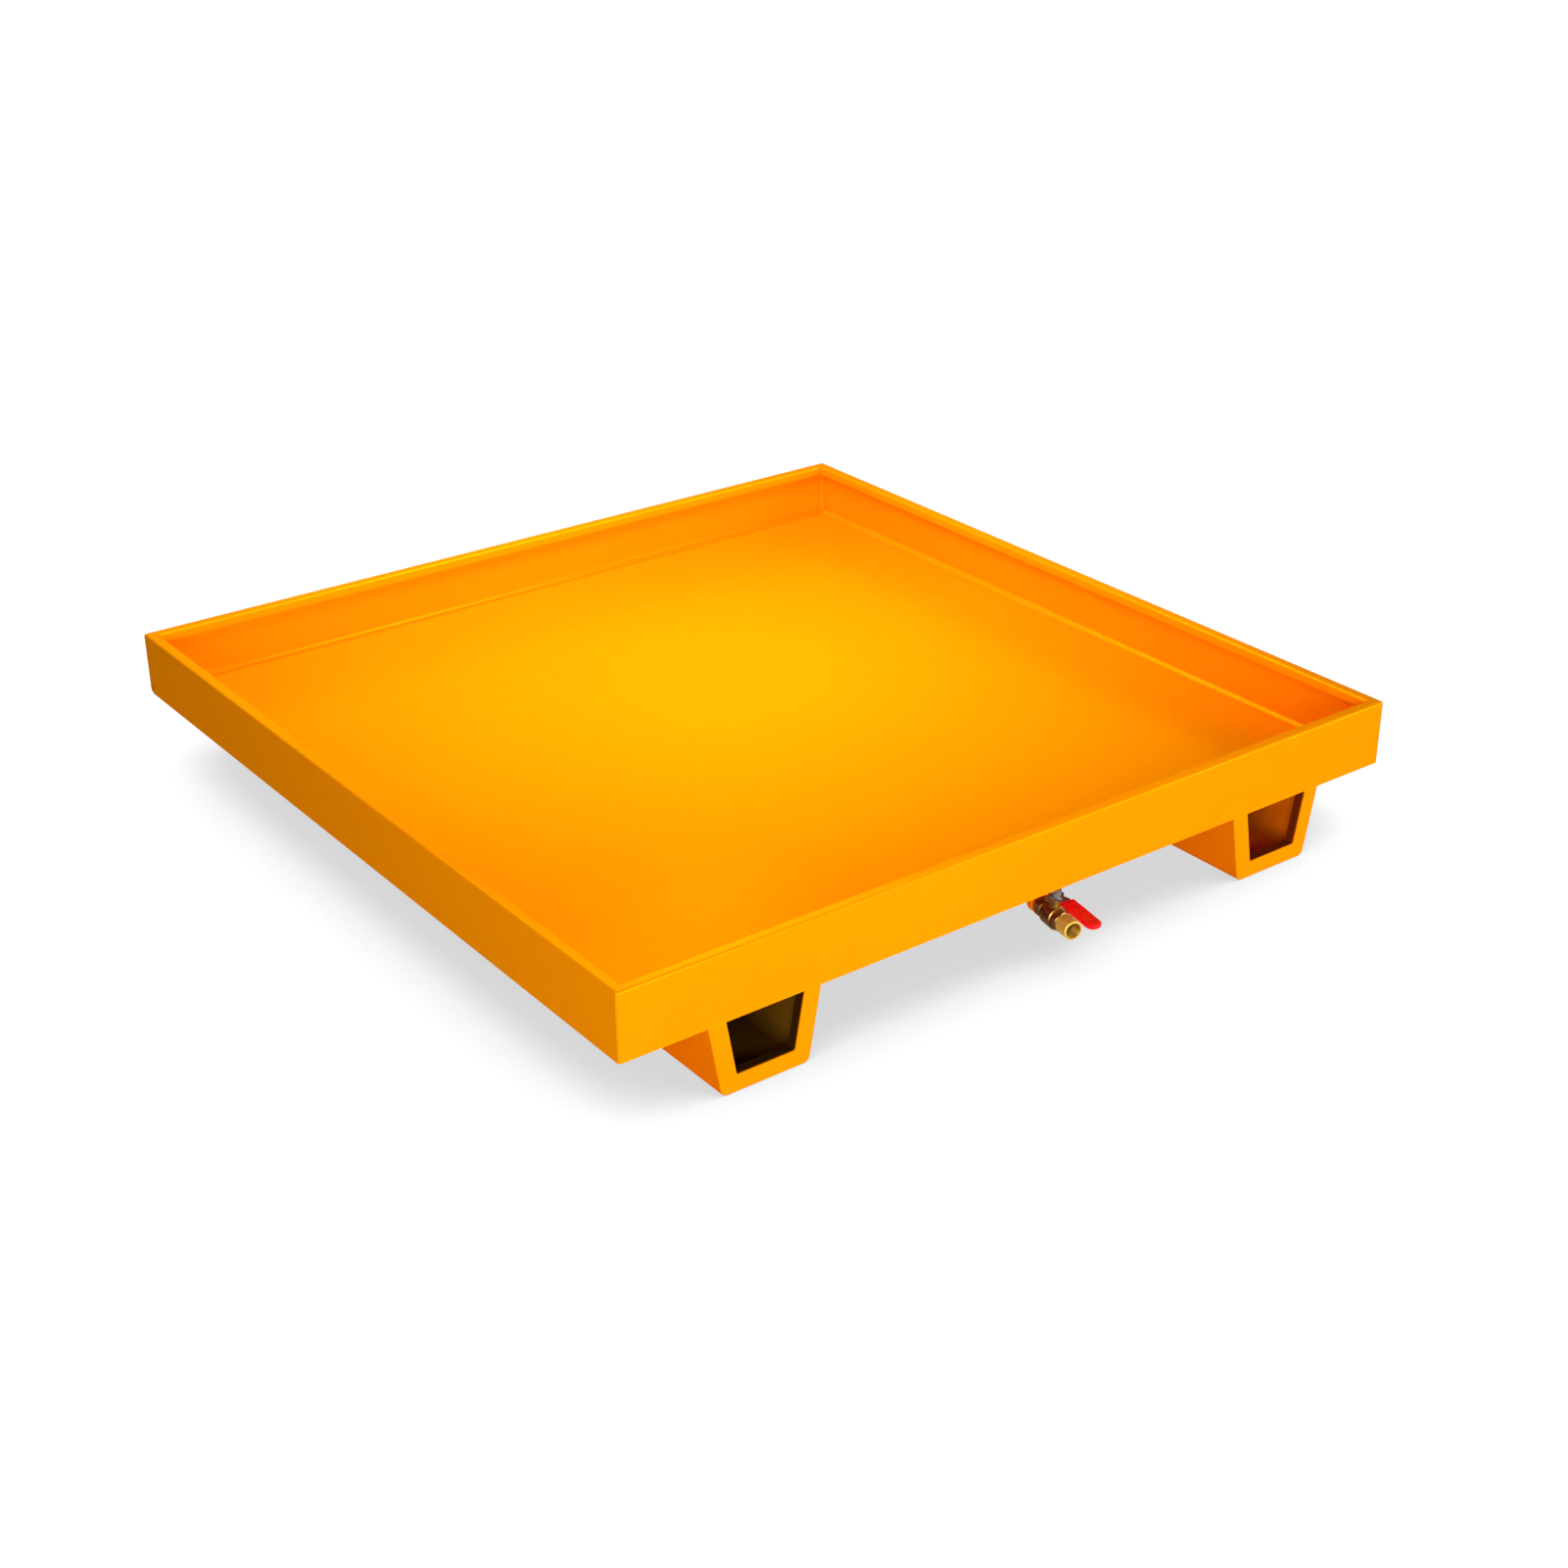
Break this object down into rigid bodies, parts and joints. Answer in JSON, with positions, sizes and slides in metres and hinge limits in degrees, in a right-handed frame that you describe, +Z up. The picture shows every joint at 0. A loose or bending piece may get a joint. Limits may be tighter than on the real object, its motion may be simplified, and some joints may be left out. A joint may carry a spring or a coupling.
{
  "type": "spill containment pallet",
  "caption": "Shallow square welded steel spill tray with an in-turned rim, on two hollow trapezoid feet, drained by a brass ball valve with a lever.",
  "frame": {"origin": "bottom centre of the whole object's box, on the ground, with the lever's reach in front counted in", "axes": "+Z up, -Y towards the front where the drain valve comes out, +X to the right seen from the front"},
  "size_m": [1.25, 1.3192, 0.192],
  "materials": {
    "orange_paint": "semi-gloss powder coat",
    "painted_weld": "rippled bead under powder coat",
    "forged_brass": "blasted forging, slightly dull",
    "turned_brass": "bright turned",
    "white_ptfe": "smooth matt",
    "chromed_ball": "polished",
    "zinc_steel": "bright zinc plate",
    "red_vinyl": "dipped vinyl, satin gloss"
  },
  "bodies": {
    "root": {"floor_sheet": "orange_paint", "front_plate": "orange_paint", "left_side_plate": "orange_paint", "right_side_plate": "orange_paint", "front_seam_weld": "painted_weld", "left_seam_weld": "painted_weld", "right_seam_weld": "painted_weld", "left_foot_channel": "orange_paint", "left_foot_front_frame": "orange_paint", "left_foot_rear_frame": "orange_paint", "left_foot_stitch_welds": "painted_weld", "right_foot_channel": "orange_paint", "right_foot_front_frame": "orange_paint", "right_foot_rear_frame": "orange_paint", "right_foot_stitch_welds": "painted_weld", "drain_socket": "orange_paint", "drain_socket_weld": "painted_weld", "drain_elbow": "orange_paint", "valve_nipple": "forged_brass", "valve_body": "forged_brass", "valve_end_cap": "forged_brass", "outlet_extension": "turned_brass", "inlet_seat_ring": "white_ptfe", "outlet_seat_ring": "white_ptfe", "stem_thrust_washer": "white_ptfe", "stem_packing_ring": "white_ptfe", "gland_nut": "forged_brass"},
    "lever_and_ball": {"valve_ball": "chromed_ball", "valve_stem": "forged_brass", "lever_plate": "zinc_steel", "lever_grip": "red_vinyl", "lever_washer": "zinc_steel", "lever_nut": "zinc_steel"}
  },
  "joints": [
    {"name": "valve_lever_turn", "type": "hinge", "parent": "root", "child": "lever_and_ball", "pos_m": [0.051, -0.56438, 0.044], "axis": [0, 0, -1], "range_deg": [0, 90]}
  ]
}
